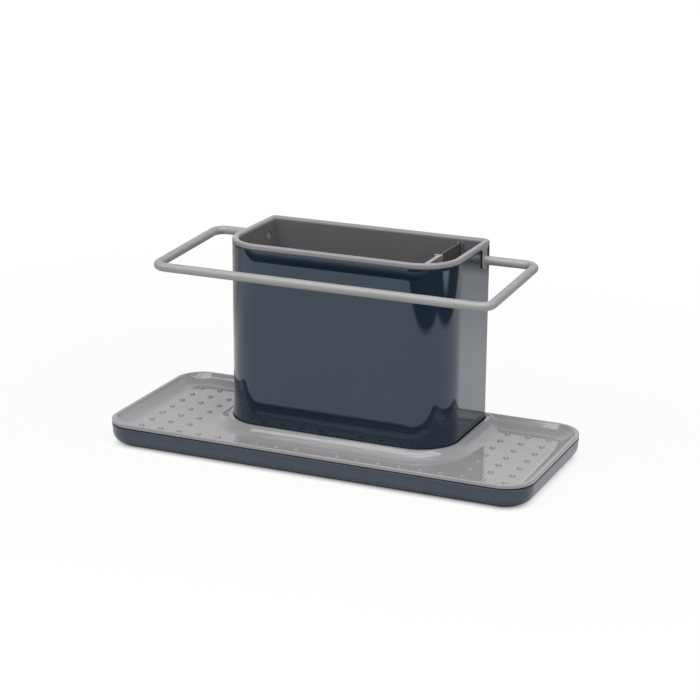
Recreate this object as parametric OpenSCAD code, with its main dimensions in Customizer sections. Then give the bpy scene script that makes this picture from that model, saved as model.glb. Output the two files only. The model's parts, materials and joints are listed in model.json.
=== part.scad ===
// Kitchen sink caddy: a drip base, a drainer tray, a tall container with a lift-out
// liner and divider, and a pivoting cloth rail.
// Millimetres. +Z is up, -Y is the front, X runs along the caddy.
// The origin is the middle of the tray's footprint, on the surface the feet stand on.

/* [Footprint] */
// Length of the base and the tray
tray_l = 301; // [270:1:340]
// Depth of the base and the tray, front to back
tray_w = 127; // [120:1:150]
// Plan radius of the four corners
tray_r = 20; // [16:0.5:26]

/* [Drip base] */
// Height of the base's top edge above the surface
base_top = 14.8; // [13:0.1:20]
// Wall thickness of the base
base_wall = 2.4; // [1.8:0.1:3.2]
// Thickness of the base's floor
base_floor = 2.4; // [2.2:0.1:3.2]
// Radius of the rounded lower edge
base_round = 8; // [5:0.5:9]
// Height of the slightly proud band below the top edge
band_h = 2.4; // [1:0.1:4]
// How far the band stands proud
band_step = 0.35; // [0.1:0.05:0.8]

/* [Feet] */
// Diameter of a foot
foot_d = 14; // [8:0.5:18]
// Height of the gap that the feet hold under the base
foot_gap = 1; // [0.6:0.1:2]
// How deep a foot is let into the base's floor
foot_seat = 0.8; // [0.4:0.1:1]
// Distance of the feet from the base's ends and sides
foot_inset = 24; // [16:1:40]

/* [Drainer tray] */
// Height of the tray's rim crest
rim_top = 17.5; // [16.6:0.1:22]
// Width of the rim's crest, over its rounded outer edge
rim_w = 2.6; // [2.4:0.1:4]
// Radius of the rim's outer edge
rim_round = 0.8; // [0.4:0.1:1.7]
// Height of the shadow gap between the base and the tray
shadow_gap = 0.8; // [0.4:0.1:1.2]
// Depth of the shadow gap, in from the outer face
shadow_depth = 1.3; // [0.6:0.1:1.6]
// Height of the tray's floor
tray_floor = 12.6; // [11.6:0.1:13.4]
// Thickness of the tray's floor and walls
tray_wall = 2.2; // [1.6:0.1:2.6]
// Width of the hollow curve from the rim down to the floor
cove_w = 12; // [8:0.5:13]
// How far the tray's skirt reaches down inside the base
skirt_depth = 3.4; // [2:0.1:5]
// Clearance between the tray's skirt and the base's wall
skirt_gap = 0.3; // [0.2:0.05:0.5]

/* [Drainer bumps] */
// Spacing of the bumps, both ways
bump_pitch = 14.5; // [12:0.5:16]
// Width of a bump at the floor
bump_d = 4; // [2.5:0.1:6]
// Height of a bump
bump_h = 1.1; // [0.6:0.1:1.9]
// Rows of bumps from front to back
bump_rows = 7; // [5:2:7]
// Columns of bumps at each end
bump_cols = 3; // [2:1:3]
// Bumps on each side of the middle in the front row
front_count = 9; // [8:1:10]

/* [Container seat] */
// Height of the ledge around the container
ledge_top = 16.4; // [15:0.1:16.6]
// Width of the ledge
ledge_w = 2.7; // [2:0.1:4]
// Height of the seat's floor, on which the container stands
seat_floor = 13.6; // [12.6:0.1:14.2]
// Clearance around the container in its seat
seat_gap = 0.8; // [0.5:0.1:1.2]
// Width of the hollow slope from the ledge down to the tray's floor
slope_w = 10.5; // [6:0.5:13]
// Steepness of the slope where it meets the ledge, in degrees
slope_turn = 62; // [40:1:75]
// Diameter of the drain holes in the seat
seat_hole_d = 6; // [3:0.5:8]
// Spacing of the drain holes in the seat
seat_hole_pitch = 22; // [16:1:26]

/* [Drain channel] */
// Width of the drain channel beside the container
channel_w = 4; // [3:0.5:6]
// Length of the drain channel
channel_l = 36; // [20:1:50]
// Depth of the drain channel's bottom below the tray's floor
channel_depth = 0.7; // [0.4:0.1:1.4]
// Distance of the channel's middle from the container's end
channel_off = 10; // [8:0.5:13]
// Length of the drain slot at the channel's far end
channel_slot_l = 10; // [6:1:16]

/* [Outer casing] */
// Distance of the container's back from the tray's back edge
casing_setback = 4.3; // [4.2:0.1:8]
// Length of the container
casing_l = 161.6; // [140:0.2:180]
// Depth of the container, front to back
casing_w = 82.5; // [70:0.5:86]
// Height of the container's top edge above the surface
casing_top = 137.4; // [100:1:160]
// Plan radius of the container's two front corners
casing_rf = 27; // [18:0.5:32]
// Plan radius of the container's two back corners
casing_rb = 5; // [4.5:0.5:10]
// Wall thickness of the casing
casing_wall = 2.4; // [1.8:0.1:3]
// Width of the casing's inward floor flange
casing_flange = 12; // [8:1:20]
// Radius of the casing's lower edge
casing_foot_r = 1.2; // [0.4:0.1:2]

/* [Liner] */
// Wall thickness of the liner
liner_wall = 1.8; // [1.4:0.1:2.4]
// Clearance between the liner and the casing
liner_gap = 0.4; // [0.3:0.05:0.6]
// Height of the liner's rolled rim
liner_rim_h = 3.4; // [2.6:0.1:4.4]
// Radius of the rim's edges
liner_rim_r = 1.5; // [0.8:0.1:1.6]
// Height of the liner's underside above the casing's floor
liner_lift = 1; // [0.6:0.1:4]
// Diameter of the liner's drain holes
liner_hole_d = 5; // [3:0.5:7]
// Spacing of the liner's drain holes
liner_hole_pitch = 17; // [12:1:22]
// Least distance of the liner's drain holes from the container's sides
liner_hole_margin = 16; // [12:1:24]

/* [Rail lugs] */
// Width of a lug
lug_w = 8; // [8:0.1:12]
// Thickness of a lug
lug_t = 1.9; // [1.6:0.1:3.4]
// Clearance between a lug and the casing
lug_gap = 0.3; // [0.3:0.05:0.6]
// Radius of the fillets where a lug leaves the rim
lug_fillet = 2; // [1:0.1:3.4]
// How far a lug's round end lies below the pin
lug_tail = 2; // [0:0.1:4]

/* [Divider] */
// Distance of the divider's middle from the container's right end
divider_off = 20.4; // [20:0.1:60]
// Thickness of the divider's stout front half
divider_t = 2.8; // [2:0.1:4]
// Thickness of the divider's thin back half
divider_thin = 1.2; // [1:0.1:2]
// Distance of the divider's top below the rim's crest
divider_drop = 3.4; // [2:0.1:12]
// Width of the cross rib between the two halves
divider_rib_w = 7.6; // [5:0.1:12]
// Thickness of the cross rib
divider_rib_t = 2.2; // [1.6:0.1:4]
// Distance of the cross rib from the container's front
divider_rib_y = 41.5; // [25:0.5:60]
// Clearance of the divider in its guides
divider_gap = 0.35; // [0.3:0.05:0.6]
// Width of a guide rib
guide_t = 1.2; // [0.8:0.1:2]
// How far a guide rib stands in from the wall
guide_h = 1.8; // [1.2:0.1:3]

/* [Cloth rail] */
// Diameter of the rail's rod
rod_d = 6; // [5:0.1:6.4]
// Length of the rail between the middles of its two side arms
rail_l = 233.8; // [200:1:260]
// Distance from the pivot to the middle of the front bar
rail_reach = 91.3; // [88:0.1:100]
// Radius of the rod's bends, at its middle
rail_bend = 8; // [6:0.5:14]
// How far the front bar droops below level, in degrees
rail_droop = 2.75; // [0:0.25:6]
// Distance of the pivot from the container's back
pivot_y = 15.2; // [10:0.1:24]
// Distance of the pivot below the rim's crest
pivot_drop = 10.9; // [10:0.1:16]
// Running clearance around the rod in its bores
bore_gap = 0.05; // [0.02:0.01:0.09]
// How far the rod's ends stop short of the liner's inner face, with the rail midway
pin_sink = 0.2; // [0:0.1:0.6]
// How far the rail lies to the right of midway, in its side play
rail_shift = 1; // [0:0.1:1.1]

/* [Hidden] */
// Segments in a quarter turn of a plan corner, and in a rounded edge
corner_n = 12;
edge_n = 5;
// Segments in a hollow curve
curve_n = 8;
// Facets of true round holes and rods
round_fn = 64;
// Facets of a domed bump
bump_fn = 32;
// Overrun of a cut past the face it opens
cut = 1;
// Depth by which joined solids run into each other
weld = 0.3;
slate = "#464f5a";
grey = "#a6a6a9";
steel = "#aaa9ab";
black = "#222326";

base_x = tray_l / 2;
base_y = tray_w / 2;
base_z = foot_gap;
casing_x = casing_l / 2;
casing_back = base_y - casing_setback;
casing_front = casing_back - casing_w;
casing_mid = (casing_back + casing_front) / 2;
casing_z = seat_floor;
divider_x = casing_x - divider_off;
liner_in = casing_wall + liner_gap;
liner_z = casing_z + casing_wall + liner_lift;
liner_top = casing_top + liner_rim_h;
liner_skin = liner_in + liner_wall;
bore_r = rod_d / 2 + bore_gap;
pin_y = casing_back - pivot_y;
pin_z = liner_top - pivot_drop;
notch_r = bore_r + liner_gap;
lug_x = casing_x + lug_gap;
bore_x = casing_x - liner_skin;
pin_x = bore_x + pin_sink;
divider_top = liner_top - divider_drop;
rib_y = casing_front + divider_rib_y;

// One quarter of a corner, as plan points
function corner(x, y, r, from) =
    [for (i = [0 : corner_n]) let (a = from + 90 * i / corner_n) [x + r * cos(a), y + r * sin(a)]];

// A closed plan with front radius rf and back radius rb, counter-clockwise from the front right
function plan(x, y0, y1, rf, rb) = concat(
    corner(x - rf, y0 + rf, rf, -90),
    corner(x - rb, y1 - rb, rb, 0),
    corner(-x + rb, y1 - rb, rb, 90),
    corner(-x + rf, y0 + rf, rf, 180));

function ring(points, z) = [for (p = points) [p.x, p.y, z]];

// The tray's plan, drawn in by a distance
function tray_plan(inset) =
    plan(base_x - inset, -base_y + inset, base_y - inset, tray_r - inset, tray_r - inset);

// The container's plan, drawn in by a distance (negative grows it)
function casing_plan(inset) =
    plan(casing_x - inset, casing_front + inset, casing_back - inset,
        casing_rf - inset, max(casing_rb - inset, weld));

// Steps of a quarter round: how far in and how far up, from the tangent below to the tangent above
function round_steps(r) = [for (i = [0 : edge_n]) let (a = 90 * i / edge_n) [r * sin(a), r * (1 - cos(a))]];

// A solid through a list of rings with equal counts; flat faces close both ends
module loft(rings) {
    n = len(rings[0]);
    last = (len(rings) - 1) * n;
    sides = [for (k = [0 : len(rings) - 2], i = [0 : n - 1]) let (j = (i + 1) % n)
        [k * n + i, (k + 1) * n + i, (k + 1) * n + j, k * n + j]];
    polyhedron(points = [for (r = rings) each r],
        faces = concat([[for (i = [0 : n - 1]) i]], sides, [[for (i = [n - 1 : -1 : 0]) last + i]]));
}

// A straight hole along Z
module hole(x, y, z0, z1, d) {
    translate([x, y, z0]) cylinder(h = z1 - z0, d = d, $fn = round_fn);
}

// A shallow dish that holds the water that drains through the tray
module base_reservoir() {
    floor_z = base_z + base_floor;
    inner_r = base_round - base_wall;
    outside = [for (s = round_steps(base_round))
        ring(tray_plan(band_step + base_round - s.x), base_z + s.y)];
    band = [
        ring(tray_plan(band_step), base_top - band_h - band_step),
        ring(tray_plan(0), base_top - band_h),
        ring(tray_plan(0), base_top - band_step),
        ring(tray_plan(band_step), base_top)];
    inside = [for (i = [edge_n : -1 : 0]) let (s = round_steps(inner_r)[i])
        ring(tray_plan(base_wall + inner_r - s.x), floor_z + s.y)];
    color(slate) difference() {
        loft(concat(outside, band, [ring(tray_plan(base_wall), base_top)], inside));
        foot_places() translate([0, 0, base_z - cut]) cylinder(h = foot_seat + cut, d = foot_d, $fn = round_fn);
    }
}

module foot_places() {
    for (x = [-1, 1], y = [-1, 1])
        translate([x * (base_x - foot_inset), y * (base_y - foot_inset), 0]) children();
}

// Four soft pads let into the base's underside
module base_feet() {
    color(black) foot_places() cylinder(h = base_z + foot_seat, d = foot_d, $fn = round_fn);
}

// The tray's section, from its underside out over the rim and down to its floor
module tray_shell() {
    foot = rim_w + cove_w;
    skirt_out = base_wall + skirt_gap;
    skirt_in = skirt_out + tray_wall;
    skirt_z = base_top - skirt_depth;
    lip_z = base_top + shadow_gap;
    drop = rim_top - tray_floor;
    under = [for (i = [0 : edge_n]) let (a = 90 * i / edge_n)
        ring(tray_plan(foot - (foot - skirt_in) * sin(a)),
            tray_floor - tray_wall + (base_top - tray_floor) * (1 - cos(a)))];
    skirt = [
        ring(tray_plan(skirt_in), skirt_z),
        ring(tray_plan(skirt_out), skirt_z),
        ring(tray_plan(skirt_out), base_top),
        ring(tray_plan(shadow_depth), base_top),
        ring(tray_plan(shadow_depth), lip_z),
        ring(tray_plan(0), lip_z)];
    crest = [for (i = [0 : edge_n]) let (a = 90 * i / edge_n)
        ring(tray_plan(rim_round * (1 - cos(a))), rim_top - rim_round + rim_round * sin(a))];
    steep = 2 * atan(drop / cove_w);
    cove_r = cove_w / sin(steep);
    cove = [for (i = [0 : curve_n]) let (a = steep * (1 - i / curve_n))
        ring(tray_plan(foot - cove_r * sin(a)), tray_floor + cove_r * (1 - cos(a)))];
    loft(concat(under, skirt, crest, cove));
}

// The hollow slope and ledge around the container; its back runs into the rim
module plinth() {
    out = seat_gap + ledge_w;
    rise = ledge_top - tray_floor;
    back = base_y - base_wall - skirt_gap - weld;
    function ledge_ring(grow, z) = ring(plan(casing_x + grow, casing_front - grow, back,
        casing_rf + grow, weld), z);
    loft(concat(
        [ledge_ring(out + slope_w, tray_floor - tray_wall / 2)],
        [for (i = [0 : curve_n]) let (a = slope_turn * i / curve_n)
            ledge_ring(out + slope_w * (1 - sin(a) / sin(slope_turn)),
                tray_floor + rise * (1 - cos(a)) / (1 - cos(slope_turn)))]));
}

// Domed bumps: blocks at both ends and one row along the front, bare in the middle
module bumps() {
    r = (bump_d * bump_d / 4 + bump_h * bump_h) / (2 * bump_h);
    half_rows = (bump_rows - 1) / 2;
    module dome(i, j) {
        translate([i * bump_pitch, j * bump_pitch, tray_floor + bump_h - r]) sphere(r = r, $fn = bump_fn);
    }
    for (i = [front_count - bump_cols + 1 : front_count], j = [-half_rows : half_rows], side = [-1, 1])
        dome(side * i, j);
    for (i = [1 : front_count - bump_cols], side = [-1, 1])
        dome(side * i, -half_rows);
}

// A shallow channel at the foot of the slope, with a slot through the tray at its far end
module drain_channel() {
    x = -casing_x - channel_off;
    y0 = casing_mid - channel_l / 2;
    y1 = casing_mid + channel_l / 2;
    z = tray_floor - channel_depth;
    module capsule(from, to, low, high) {
        hole(x, from + channel_w / 2, low, high, channel_w);
        hole(x, to - channel_w / 2, low, high, channel_w);
        translate([x - channel_w / 2, from + channel_w / 2, low])
            cube([channel_w, to - from - channel_w, high - low]);
    }
    capsule(y0, y1, z, ledge_top + cut);
    capsule(y1 - channel_slot_l, y1, tray_floor - tray_wall - cut, z + cut);
}

module drainer_tray() {
    nx = floor((casing_l - 2 * casing_flange - seat_hole_d) / seat_hole_pitch / 2);
    ny = floor((casing_w - 2 * casing_flange - seat_hole_d) / seat_hole_pitch / 2);
    under = tray_floor - tray_wall;
    color(grey) difference() {
        union() {
            tray_shell();
            plinth();
            bumps();
        }
        loft([ring(casing_plan(-seat_gap), seat_floor), ring(casing_plan(-seat_gap), rim_top + cut)]);
        loft([ring(casing_plan(tray_wall), under - cut), ring(casing_plan(tray_wall), seat_floor - tray_wall)]);
        for (i = [-nx : nx], j = [-ny : ny])
            hole(i * seat_hole_pitch, casing_mid + j * seat_hole_pitch, under - cut, seat_floor + cut, seat_hole_d);
        drain_channel();
    }
}

// A glossy sleeve with a flanged, open floor, and a notch at each end for the rail's pins
module outer_casing() {
    foot = [for (s = round_steps(casing_foot_r)) ring(casing_plan(casing_foot_r - s.x), casing_z + s.y)];
    color(slate) difference() {
        loft(concat(foot, [
            ring(casing_plan(0), casing_top),
            ring(casing_plan(casing_wall), casing_top),
            ring(casing_plan(casing_wall), casing_z + casing_wall)]));
        loft([for (z = [casing_z - cut, casing_z + casing_wall + cut]) ring(casing_plan(casing_flange), z)]);
        for (side = [-1, 1]) {
            translate([side * (casing_x - casing_wall / 2), pin_y, pin_z]) rotate([0, 90, 0])
                cylinder(h = casing_wall + 2 * cut, r = notch_r, center = true, $fn = round_fn);
            translate([side * (casing_x - casing_wall / 2) - casing_wall / 2 - cut, pin_y - notch_r, pin_z])
                cube([casing_wall + 2 * cut, 2 * notch_r, casing_top - pin_z + cut]);
        }
    }
}

// A lug hangs outside the casing from the rim's end, and takes the rail's pin
module lug() {
    head_w = lug_w + 2 * lug_fillet;
    head_h = liner_rim_h - liner_rim_r;
    difference() {
        union() {
            translate([lug_x, pin_y - lug_w / 2, pin_z - lug_tail])
                cube([lug_t, lug_w, casing_top - pin_z + lug_tail]);
            translate([lug_x, pin_y, pin_z - lug_tail]) rotate([0, 90, 0])
                cylinder(h = lug_t, d = lug_w, $fn = round_fn);
            translate([lug_x, pin_y - head_w / 2, casing_top - lug_fillet]) cube([lug_t, head_w, lug_fillet]);
            translate([casing_x - weld, pin_y - head_w / 2, casing_top])
                cube([weld + lug_gap + lug_t, head_w, head_h]);
        }
        for (side = [-1, 1])
            translate([lug_x - cut, pin_y + side * head_w / 2, casing_top - lug_fillet]) rotate([0, 90, 0])
                cylinder(h = lug_t + 2 * cut, r = lug_fillet, $fn = round_fn);
    }
}

// Two pairs of ribs on the liner's walls that guide the divider's front and back edges
module guides() {
    low = liner_z + weld;
    module strips(y, depth, width) {
        for (side = [-1, 1])
            translate([divider_x + side * (width / 2 + divider_gap + guide_t / 2) - guide_t / 2, y, low])
                cube([guide_t, depth, divider_top - low]);
    }
    difference() {
        intersection() {
            union() {
                strips(casing_front, casing_rf, divider_t);
                strips(casing_back - casing_rf, casing_rf, divider_thin);
            }
            loft([for (z = [liner_z, liner_top]) ring(casing_plan(liner_skin - liner_wall / 2), z)]);
        }
        loft([for (z = [low - cut, liner_top + cut]) ring(casing_plan(liner_skin + guide_h), z)]);
    }
}

// The inner container, hung by its rolled rim on the casing
module inner_liner() {
    bore_l = lug_x + lug_t - bore_x + 2 * cut;
    foot = [for (s = round_steps(liner_wall))
        ring(casing_plan(liner_in + liner_wall - s.x), liner_z + s.y)];
    rim_out = [for (i = [0 : edge_n]) let (a = 90 * i / edge_n)
        ring(casing_plan(liner_rim_r * (1 - cos(a))), liner_top - liner_rim_r * (1 - sin(a)))];
    rim_in = [for (i = [0 : edge_n]) let (a = 90 * i / edge_n)
        ring(casing_plan(liner_skin - liner_rim_r * (1 - sin(a))), liner_top - liner_rim_r * (1 - cos(a)))];
    nx = floor((casing_l / 2 - liner_hole_margin) / liner_hole_pitch);
    ny = floor((casing_w / 2 - liner_hole_margin) / liner_hole_pitch);
    color(grey) difference() {
        union() {
            loft(concat(foot,
                [ring(casing_plan(liner_in), casing_top), ring(casing_plan(0), casing_top)],
                rim_out, rim_in, [ring(casing_plan(liner_skin), liner_z + liner_wall)]));
            for (side = [0, 1])
                mirror([side, 0, 0]) lug();
            guides();
        }
        for (side = [0, 1])
            mirror([side, 0, 0]) translate([bore_x - cut, pin_y, pin_z]) rotate([0, 90, 0])
                cylinder(h = bore_l, r = bore_r, $fn = round_fn);
        for (i = [-nx : nx], j = [-ny : ny])
            hole(i * liner_hole_pitch, casing_mid + j * liner_hole_pitch,
                liner_z - cut, liner_z + liner_wall + cut, liner_hole_d);
    }
}

// A panel that parts off a narrow bay: stout in front, thin behind, with a cross rib between
module divider() {
    corner_x = casing_x - casing_rf;
    corner_y = casing_front + casing_rf;
    reach = max(divider_x + divider_t / 2 - corner_x, 0);
    front = corner_y - sqrt(pow(casing_rf - liner_skin, 2) - pow(reach, 2)) + divider_gap;
    back = casing_back - liner_skin - divider_gap;
    low = liner_z + liner_wall;
    h = divider_top - low;
    color(grey) union() {
        translate([divider_x - divider_t / 2, front, low]) cube([divider_t, rib_y - front, h]);
        translate([divider_x - divider_thin / 2, rib_y, low]) cube([divider_thin, back - rib_y, h]);
        translate([divider_x - divider_rib_w / 2, rib_y - divider_rib_t, low])
            cube([divider_rib_w, divider_rib_t, h]);
    }
}

// A bent rod: two pins, two side arms and a front bar, turned down a little about the pins
module cloth_rail() {
    rail_x = rail_l / 2;
    module rod(h) {
        cylinder(h = h, d = rod_d, $fn = round_fn);
    }
    module bend() {
        rotate_extrude(angle = 90, $fn = round_fn) translate([rail_bend, 0]) circle(d = rod_d, $fn = round_fn);
    }
    color(steel) translate([rail_shift, pin_y, pin_z]) rotate([rail_droop, 0, 0]) union() {
        for (side = [0, 1])
            mirror([side, 0, 0]) {
                translate([pin_x, 0, 0]) rotate([0, 90, 0]) rod(rail_x - rail_bend - pin_x);
                translate([rail_x - rail_bend, -rail_bend, 0]) bend();
                translate([rail_x, -rail_bend, 0]) rotate([90, 0, 0]) rod(rail_reach - 2 * rail_bend);
                translate([rail_x - rail_bend, rail_bend - rail_reach, 0]) rotate([0, 0, -90]) bend();
            }
        translate([rail_bend - rail_x, -rail_reach, 0]) rotate([0, 90, 0]) rod(rail_l - 2 * rail_bend);
    }
}

base_reservoir();
base_feet();
drainer_tray();
outer_casing();
inner_liner();
divider();
cloth_rail();
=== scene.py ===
"""Kitchen sink caddy: drip base, drainer tray, container with liner and divider, and cloth rail."""

import json
import math

import bpy
import numpy as np
from mathutils import Matrix, Vector
from mathutils.geometry import delaunay_2d_cdt


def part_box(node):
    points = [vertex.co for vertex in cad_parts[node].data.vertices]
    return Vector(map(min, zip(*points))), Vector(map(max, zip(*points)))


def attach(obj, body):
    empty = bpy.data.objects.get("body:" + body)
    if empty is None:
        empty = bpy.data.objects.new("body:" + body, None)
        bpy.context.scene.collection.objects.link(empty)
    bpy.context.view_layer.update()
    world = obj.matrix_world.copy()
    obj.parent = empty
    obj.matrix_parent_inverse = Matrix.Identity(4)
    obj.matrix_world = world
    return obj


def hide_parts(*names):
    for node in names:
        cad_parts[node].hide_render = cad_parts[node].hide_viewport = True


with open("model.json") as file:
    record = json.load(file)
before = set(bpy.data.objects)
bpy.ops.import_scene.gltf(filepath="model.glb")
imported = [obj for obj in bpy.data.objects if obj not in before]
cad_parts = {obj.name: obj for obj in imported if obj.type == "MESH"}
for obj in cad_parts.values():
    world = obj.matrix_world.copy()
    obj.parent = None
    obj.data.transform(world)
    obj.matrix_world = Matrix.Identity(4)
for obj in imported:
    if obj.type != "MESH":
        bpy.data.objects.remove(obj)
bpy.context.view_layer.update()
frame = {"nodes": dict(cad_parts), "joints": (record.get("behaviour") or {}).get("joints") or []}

bl_info = {
    "name": "Kitchen Sink Caddy",
    "version": (1, 0, 0),
    "blender": (4, 5, 0),
    "location": "3D View > Sidebar > Caddy",
    "description": "Builds a drainer tray caddy with its container, liner, divider and cloth rail",
    "category": "Add Mesh",
}

BASE_LO, BASE_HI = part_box("base_reservoir")
TRAY_LO, TRAY_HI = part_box("drainer_tray")
CASING_LO, CASING_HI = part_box("outer_casing")
LINER_LO, LINER_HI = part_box("inner_liner")
DIVIDER_LO, DIVIDER_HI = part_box("divider")
RAIL_LO, RAIL_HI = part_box("cloth_rail")
FEET_LO, FEET_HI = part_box("base_feet")
PIVOT = Vector(next(j["pos_m"] for j in frame["joints"] if j["name"] == "rail_pivot"))
CASING_MIDDLE = (CASING_LO.y + CASING_HI.y) / 2
MM = 0.001

# Segments in a quarter turn of a plan corner, and pieces of each straight side
CORNER_STEPS = 20
SIDE_STEPS = 28
# Segments round a rod, a hole and a bump, and in a bend of the rod
ROD_STEPS = 48
HOLE_STEPS = 40
BUMP_STEPS = 28
BEND_STEPS = 18


# --- properties -------------------------------------------------------------------------------


def kind(make, **fixed):
    """A short form of one of Blender's properties: a name, a description and a default"""
    return lambda name, description, default, **more: make(
        name=name, description=description, default=default, **fixed, **more
    )


size = kind(bpy.props.FloatProperty, min=0.0, precision=5, unit="LENGTH", subtype="DISTANCE")
count = kind(bpy.props.IntProperty, min=1)
share = kind(bpy.props.FloatProperty, min=0.0, max=1.0, subtype="FACTOR")
number = kind(bpy.props.FloatProperty)
colour = kind(bpy.props.FloatVectorProperty, min=0.0, max=1.0, size=3, subtype="COLOR")
vector = kind(bpy.props.FloatVectorProperty)


class CaddyBase(bpy.types.PropertyGroup):
    """Sizes and colour of the drip base"""

    corner: size("Corner", "Plan radius of the corners", 0.020)
    wall: size("Wall", "Wall thickness", 0.0024)
    floor: size("Floor", "Floor thickness", 0.0024)
    roll: size("Lower edge", "Radius of the rounded lower edge", 0.008)
    band: size("Band", "Height of the proud band under the top edge", 0.0024)
    step: size("Band step", "How far the band stands proud", 0.00035)
    edge: size("Edge", "Radius of the top edges", 0.00035)
    lip: size("Lip", "How far the outer edge lies under the top", 0.00045)
    lip_w: size("Lip width", "Width of the lowered outer edge", 0.0013)
    tint: colour("Colour", "Slate of the base", (0.026, 0.041, 0.068))


class CaddyFeet(bpy.types.PropertyGroup):
    """Sizes and colour of the soft feet"""

    edge: size("Edge", "Radius of a foot's lower edge", 0.0003)
    tint: colour("Colour", "Black of the feet", (0.012, 0.012, 0.013))


class CaddyTray(bpy.types.PropertyGroup):
    """Sizes and colour of the drainer tray"""

    corner: size("Corner", "Plan radius of the corners", 0.020)
    wall: size("Wall", "Thickness of the floor and walls", 0.0022)
    lip: size("Lip", "Height of the rim's underside", 0.0151)
    rest: size("Rest", "Height of the face that rests on the base", 0.0148)
    shadow: size("Shadow gap", "Depth of the shadow gap over the base", 0.0013)
    skirt: size("Skirt", "Distance of the skirt from the outer face", 0.0027)
    skirt_low: size("Skirt foot", "Height of the skirt's lower edge", 0.0114)
    round: size("Outer round", "Radius of the rim's outer edge", 0.0008)
    crest: size("Crest", "Width of the rim's crest", 0.0026)
    crest_round: size("Crest round", "Radius of the crest's inner edge", 0.0014)
    cove: size("Cove", "Width of the hollow from the crest to the floor", 0.012)
    ledge: size("Ledge", "Width of the ledge round the container", 0.0027)
    ledge_top: size("Ledge height", "Height of the ledge", 0.0164)
    ledge_round: size("Ledge round", "Radius of the ledge's outer edge", 0.0006)
    gap: size("Seat gap", "Clearance round the container", 0.0008)
    slope: size("Slope", "Width of the hollow slope round the ledge", 0.0105)
    seat: size("Seat", "Height of the seat's floor", 0.0136)
    seat_hole: size("Seat hole", "Diameter of the seat's drain holes", 0.006)
    seat_pitch: size("Seat pitch", "Spacing of the seat's drain holes", 0.022)
    pitch: size("Bump pitch", "Spacing of the bumps", 0.0145)
    bump: size("Bump", "Width of a bump", 0.004)
    bump_h: size("Bump height", "Height of a bump", 0.0011)
    bump_foot: size("Bump foot", "Radius at the foot of a bump", 0.0002)
    bump_side: number("Bump side", "Steepness of a bump's side, 2 for a ball", 2.5, min=2.0)
    rows: count("Rows", "Rows of bumps from front to back", 7)
    columns: count("Columns", "Columns of bumps at each end", 3)
    front: count("Front bumps", "Bumps on each side of the middle in the front row", 9)
    channel_w: size("Channel", "Width of the drain channel", 0.004)
    channel_l: size("Channel length", "Length of the drain channel", 0.036)
    channel_deep: size("Channel depth", "Depth of the drain channel", 0.0007)
    channel_off: size("Channel place", "Distance of the channel from the container's end", 0.010)
    slot: size("Slot", "Length of the drain slot", 0.010)
    tint: colour("Colour", "Light grey of the tray", (0.276, 0.272, 0.281))


class CaddyCasing(bpy.types.PropertyGroup):
    """Sizes and colour of the outer casing"""

    front_corner: size("Front corner", "Plan radius of the front corners", 0.027)
    back_corner: size("Back corner", "Plan radius of the back corners", 0.005)
    wall: size("Wall", "Wall thickness", 0.0024)
    flange: size("Flange", "Width of the floor flange", 0.012)
    foot: size("Foot", "Radius of the lower edge", 0.0012)
    edge: size("Edge", "Radius of the top edges", 0.0004)
    notch: size("Notch", "Radius of the notches for the rail", 0.00345)
    tint: colour("Colour", "Deep slate of the casing", (0.0060, 0.0160, 0.0300))


class CaddyLiner(bpy.types.PropertyGroup):
    """Sizes and colour of the liner and its lugs"""

    wall: size("Wall", "Wall thickness", 0.0018)
    gap: size("Gap", "Clearance to the casing", 0.0004)
    rim_round: size("Rim round", "Radius of the rim's outer edge", 0.0015)
    rim_inner: size("Rim inside", "Radius of the rim's inner edge", 0.0024)
    rim_under: size("Rim under", "Radius of the rim's lower edge", 0.0007)
    inner_round: size("Inner round", "Radius at the foot of the inner wall", 0.003)
    hole: size("Drain hole", "Diameter of the drain holes", 0.005)
    pitch: size("Drain pitch", "Spacing of the drain holes", 0.017)
    margin: size("Drain margin", "Least distance of the holes from the sides", 0.016)
    lug_w: size("Lug", "Width of a lug", 0.008)
    lug_t: size("Lug thickness", "Thickness of a lug", 0.0019)
    lug_tail: size("Lug tail", "How far the round end lies below the pin", 0.002)
    lug_fillet: size("Lug fillet", "Radius where a lug leaves the rim", 0.002)
    lug_edge: size("Lug edge", "Radius of a lug's outer edges", 0.0003)
    lug_in: size("Lug face", "How far a lug's face stands back from the full length", 0.0008)
    lug_lean: size("Lug lean", "How far a lug's face leans in towards the rim", 0.0005)
    bore: size("Bore", "Radius of the rail's bores", 0.00305)
    guide_t: size("Guide", "Width of a guide rib", 0.0012)
    guide_h: size("Guide height", "How far a guide rib stands in", 0.0018)
    guide_gap: size("Guide gap", "Clearance of the divider in its guides", 0.00035)
    tint: colour("Colour", "Satin grey of the liner", (0.250, 0.243, 0.258))


class CaddyDivider(bpy.types.PropertyGroup):
    """Sizes and colour of the divider"""

    stout: size("Front half", "Thickness of the front half", 0.0028)
    thin: size("Back half", "Thickness of the back half", 0.0012)
    rib_t: size("Rib", "Thickness of the cross rib", 0.0022)
    rib_back: size("Rib place", "Distance of the rib's back from the container's front", 0.0415)
    # Painted shade on the stout half's sides, as a share of the full painted shade
    stout_shade: share("Stout shade", "Share of the inner shade on the stout half's sides", 0.6)
    rib_cut: size("Rib cut", "How much shorter the cross rib is on its outer side", 0.0020)
    edge: size("Edge", "Radius of the edges", 0.0004)
    tint: colour("Colour", "Satin grey of the divider", (0.260, 0.250, 0.250))


class CaddyRail(bpy.types.PropertyGroup):
    """Sizes and colour of the cloth rail"""

    sink: size("Sink", "How far a pin's end lies inside the liner's wall", 0.0012)
    rod: size("Rod", "Diameter of the rod", 0.006)
    bend: size("Bend", "Radius of the bends at the rod's middle", 0.008)
    end: size("End", "Chamfer of the rod's ends", 0.0005)
    tint: colour("Colour", "Satin grey of the rail", (0.360, 0.355, 0.360))


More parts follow.
